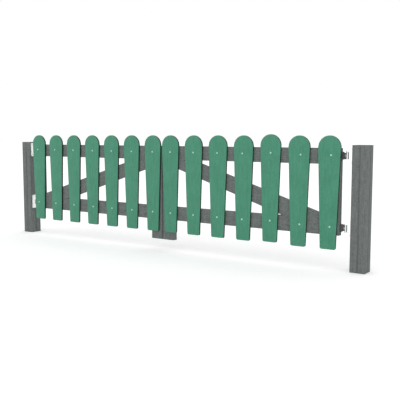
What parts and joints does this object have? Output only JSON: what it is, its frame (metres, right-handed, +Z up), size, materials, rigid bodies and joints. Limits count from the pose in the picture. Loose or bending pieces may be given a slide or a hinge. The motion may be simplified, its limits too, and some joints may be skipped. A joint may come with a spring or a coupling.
{
  "type": "double picket gate with posts",
  "caption": "Two hinged picket leaves with ledged and braced frames, hung on pin hinges between two square posts.",
  "frame": {"origin": "centre of the left post's foot, at ground level", "axes": "+X along the gate from the left post to the right post, +Z up, -Y towards the side that carries the pickets"},
  "size_m": [3.204, 0.1288, 0.8829],
  "materials": {
    "post_plastic": "matte",
    "frame_plastic": "matte",
    "picket_plastic": "satin",
    "screw_steel": "satin",
    "zinc_steel": "satin",
    "black_steel": "satin"
  },
  "bodies": {
    "posts": {"left_post": "post_plastic", "right_post": "post_plastic", "left_upper_hinge_bracket": "zinc_steel", "left_upper_hinge_pin": "zinc_steel", "left_lower_hinge_bracket": "zinc_steel", "left_lower_hinge_pin": "zinc_steel", "right_upper_hinge_bracket": "zinc_steel", "right_upper_hinge_pin": "zinc_steel", "right_lower_hinge_bracket": "zinc_steel", "right_lower_hinge_pin": "zinc_steel"},
    "left_leaf": {"left_hinge_stile": "frame_plastic", "left_meeting_stile": "frame_plastic", "left_top_rail": "frame_plastic", "left_bottom_rail": "frame_plastic", "left_brace": "frame_plastic", "left_picket_1": "picket_plastic", "left_picket_2": "picket_plastic", "left_picket_3": "picket_plastic", "left_picket_4": "picket_plastic", "left_picket_5": "picket_plastic", "left_picket_6": "picket_plastic", "left_picket_7": "picket_plastic", "left_picket_screws": "screw_steel", "left_upper_hinge_nut": "black_steel", "left_upper_hinge_eye": "zinc_steel", "left_lower_hinge_nut": "black_steel", "left_lower_hinge_eye": "zinc_steel"},
    "right_leaf": {"right_hinge_stile": "frame_plastic", "right_meeting_stile": "frame_plastic", "right_top_rail": "frame_plastic", "right_bottom_rail": "frame_plastic", "right_brace": "frame_plastic", "right_picket_1": "picket_plastic", "right_picket_2": "picket_plastic", "right_picket_3": "picket_plastic", "right_picket_4": "picket_plastic", "right_picket_5": "picket_plastic", "right_picket_6": "picket_plastic", "right_picket_7": "picket_plastic", "right_picket_screws": "screw_steel", "right_upper_hinge_nut": "black_steel", "right_upper_hinge_eye": "zinc_steel", "right_lower_hinge_nut": "black_steel", "right_lower_hinge_eye": "zinc_steel"}
  },
  "joints": [
    {"name": "left_leaf_hinge", "type": "hinge", "parent": "posts", "child": "left_leaf", "pos_m": [0.087, -0.033, 0.2805], "axis": [0, 0, 1], "range_deg": [-90, 90]},
    {"name": "right_leaf_hinge", "type": "hinge", "parent": "posts", "child": "right_leaf", "pos_m": [3.015, -0.033, 0.2805], "axis": [0, 0, -1], "range_deg": [-90, 90]}
  ]
}
